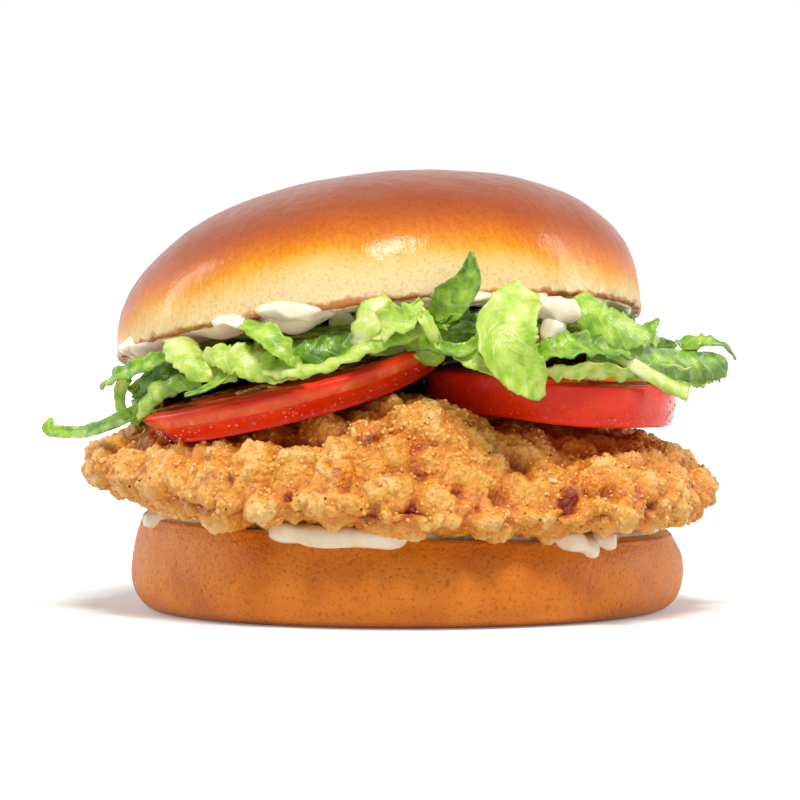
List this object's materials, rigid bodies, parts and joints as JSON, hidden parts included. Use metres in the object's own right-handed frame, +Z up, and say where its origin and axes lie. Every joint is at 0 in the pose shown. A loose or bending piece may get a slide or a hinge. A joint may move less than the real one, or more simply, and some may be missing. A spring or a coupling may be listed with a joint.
{
  "type": "chicken burger",
  "caption": "Breaded chicken fillet burger with tomato slices, shredded lettuce and mayonnaise in a soft glazed bun.",
  "frame": {"origin": "centre of the bottom bun's flat base, on the surface it rests on", "axes": "+Z up through the stack, +X to the right along the fillet's length, -Y towards the front where the filling shows best"},
  "size_m": [0.1294, 0.1101, 0.0858],
  "materials": {
    "bun_side_crust": "baked crust, satin",
    "bun_glazed_crust": "egg-glazed crust, glossy",
    "fried_breading": "craggy fried breading",
    "tomato_flesh": "wet",
    "lettuce_leaf": "satin leaf",
    "mayonnaise": "creamy, glossy"
  },
  "bodies": {
    "root": {"bun_bottom": "bun_side_crust", "sauce_lower": "mayonnaise", "chicken_fillet": "fried_breading", "tomato_left": "tomato_flesh", "tomato_right": "tomato_flesh", "lettuce": "lettuce_leaf", "sauce_upper": "mayonnaise", "bun_top": "bun_glazed_crust"}
  },
  "joints": []
}
